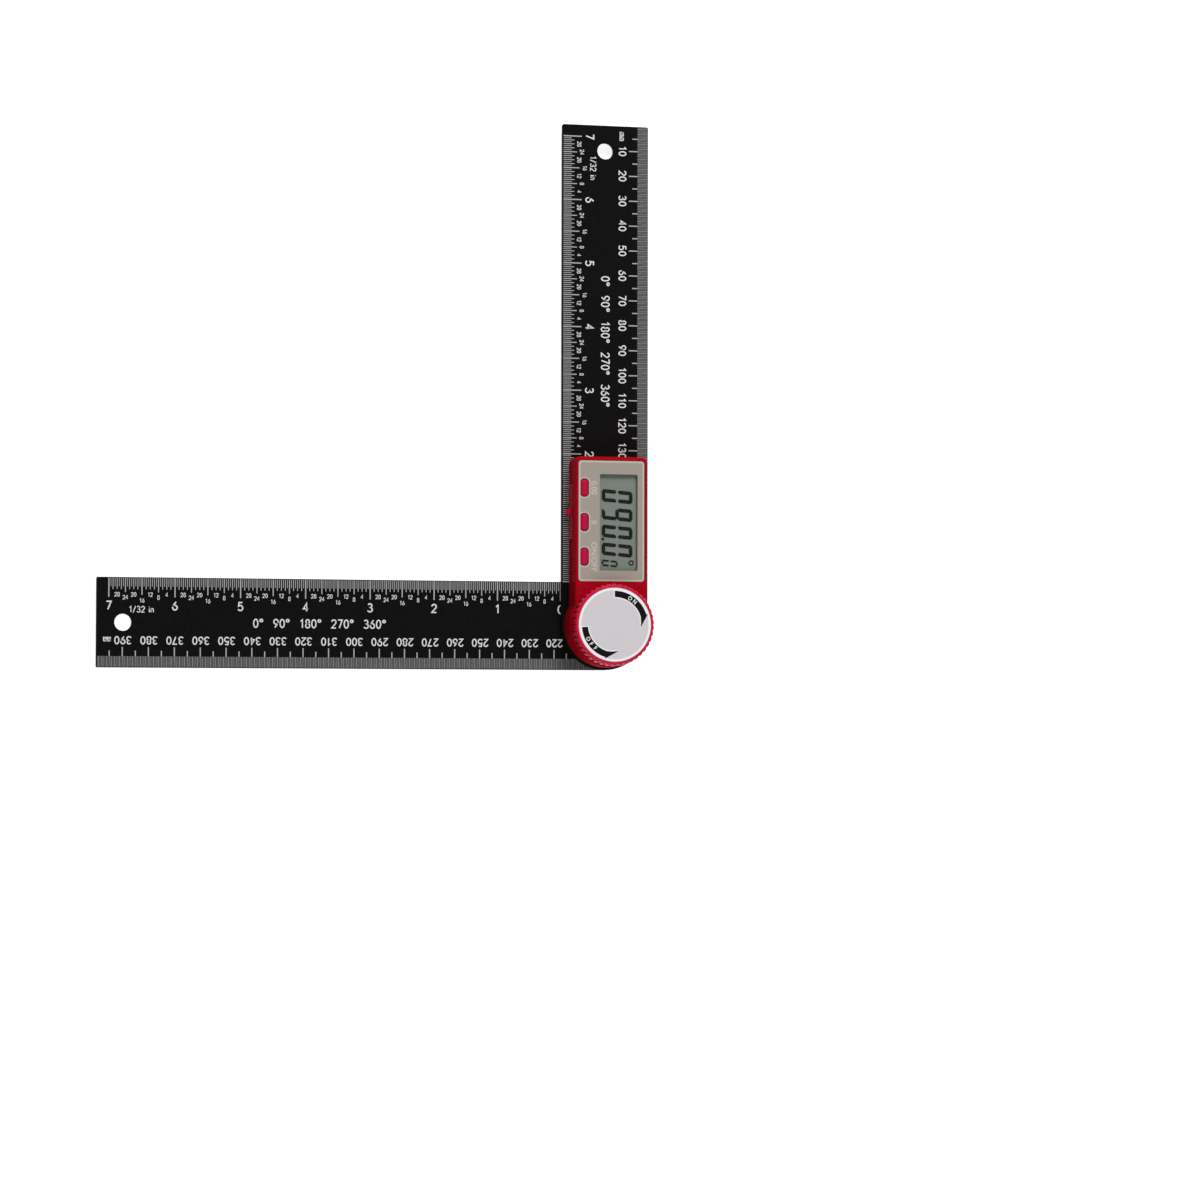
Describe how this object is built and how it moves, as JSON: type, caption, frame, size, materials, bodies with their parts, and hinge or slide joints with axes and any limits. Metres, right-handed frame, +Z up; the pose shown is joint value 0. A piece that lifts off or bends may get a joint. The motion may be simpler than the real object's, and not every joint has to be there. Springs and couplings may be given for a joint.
{
  "type": "digital angle finder",
  "caption": "Digital angle finder: flat scaled arms that turn on a shared pivot, a display housing with push buttons on the upper arm and a knurled clamp knob over the pivot.",
  "frame": {"origin": "on the pivot axis, at the underside of the base arm, where the shaft's flange lies flush", "axes": "+Z up out of the display, +Y along the display arm, -X along the base arm with the arms at 90 degrees"},
  "size_m": [0.2174, 0.2174, 0.0235],
  "materials": {
    "black_nylon": "fine satin moulded nylon",
    "housing_red": "satin moulded plastic",
    "knob_red": "satin moulded plastic",
    "button_crimson": "smooth matte plastic",
    "face_plate": "printed film on plastic",
    "clear_lens": "clear polished",
    "display_panel": "grey-green reflective display",
    "knob_disc": "smooth matte plastic",
    "steel": "satin",
    "cell_steel": "bright nickel plate",
    "brass": "turned",
    "circuit_board": "solder mask",
    "white_plastic": "plain moulded",
    "dark_plastic": "plain moulded",
    "strip_rubber": "soft striped",
    "print_white": "printed ink",
    "print_black": "printed ink",
    "display_ink": "dark liquid crystal segments"
  },
  "bodies": {
    "base_arm": {"base_blade": "black_nylon", "pivot_shaft": "steel", "friction_washer": "white_plastic", "retaining_clip": "steel", "rotor_hub": "white_plastic", "encoder_rotor": "circuit_board"},
    "display_arm": {"display_blade": "black_nylon", "pivot_bush": "brass", "housing_shell": "housing_red", "face_plate": "face_plate", "display_lens": "clear_lens", "display_glass": "display_panel", "display_spacer": "white_plastic", "contact_strip_left": "strip_rubber", "contact_strip_right": "strip_rubber", "circuit_board": "circuit_board", "controller_chip": "dark_plastic", "timing_crystal": "steel", "tray_guide": "dark_plastic", "battery_contact_upper": "steel", "battery_contact_rim": "steel", "switch_power": "dark_plastic", "switch_hold": "dark_plastic", "switch_zero": "dark_plastic", "housing_screw_1": "steel", "housing_screw_2": "steel", "housing_screw_3": "steel", "housing_screw_4": "steel", "board_screw_1": "steel", "board_screw_2": "steel", "board_screw_3": "steel"},
    "lock_knob": {"knob_body": "knob_red", "knob_disc": "knob_disc", "threaded_insert": "brass", "clamp_washer": "steel"},
    "battery_drawer": {"battery_tray": "button_crimson", "coin_cell": "cell_steel"},
    "button_power": {"button_power": "button_crimson"},
    "button_hold": {"button_hold": "button_crimson"},
    "button_zero": {"button_zero": "button_crimson"}
  },
  "joints": [
    {"name": "arm_hinge", "type": "hinge", "parent": "base_arm", "child": "display_arm", "pos_m": [0, 0, 0], "axis": [0, 0, 1], "continuous": true},
    {"name": "knob_turn", "type": "hinge", "parent": "base_arm", "child": "lock_knob", "pos_m": [0, 0, 0], "axis": [0, 0, 1], "range_deg": [0, 120]},
    {"name": "battery_tray_slide", "type": "slide", "parent": "display_arm", "child": "battery_drawer", "axis": [-1, 0, 0], "range_m": [0, 0.022]},
    {"name": "button_power_press", "type": "slide", "parent": "display_arm", "child": "button_power", "axis": [0, 0, -1], "range_m": [0, 0.0006], "stiffness_N_per_m": 1000, "springref_m": -0.0003},
    {"name": "button_hold_press", "type": "slide", "parent": "display_arm", "child": "button_hold", "axis": [0, 0, -1], "range_m": [0, 0.0006], "stiffness_N_per_m": 1000, "springref_m": -0.0003},
    {"name": "button_zero_press", "type": "slide", "parent": "display_arm", "child": "button_zero", "axis": [0, 0, -1], "range_m": [0, 0.0006], "stiffness_N_per_m": 1000, "springref_m": -0.0003}
  ]
}
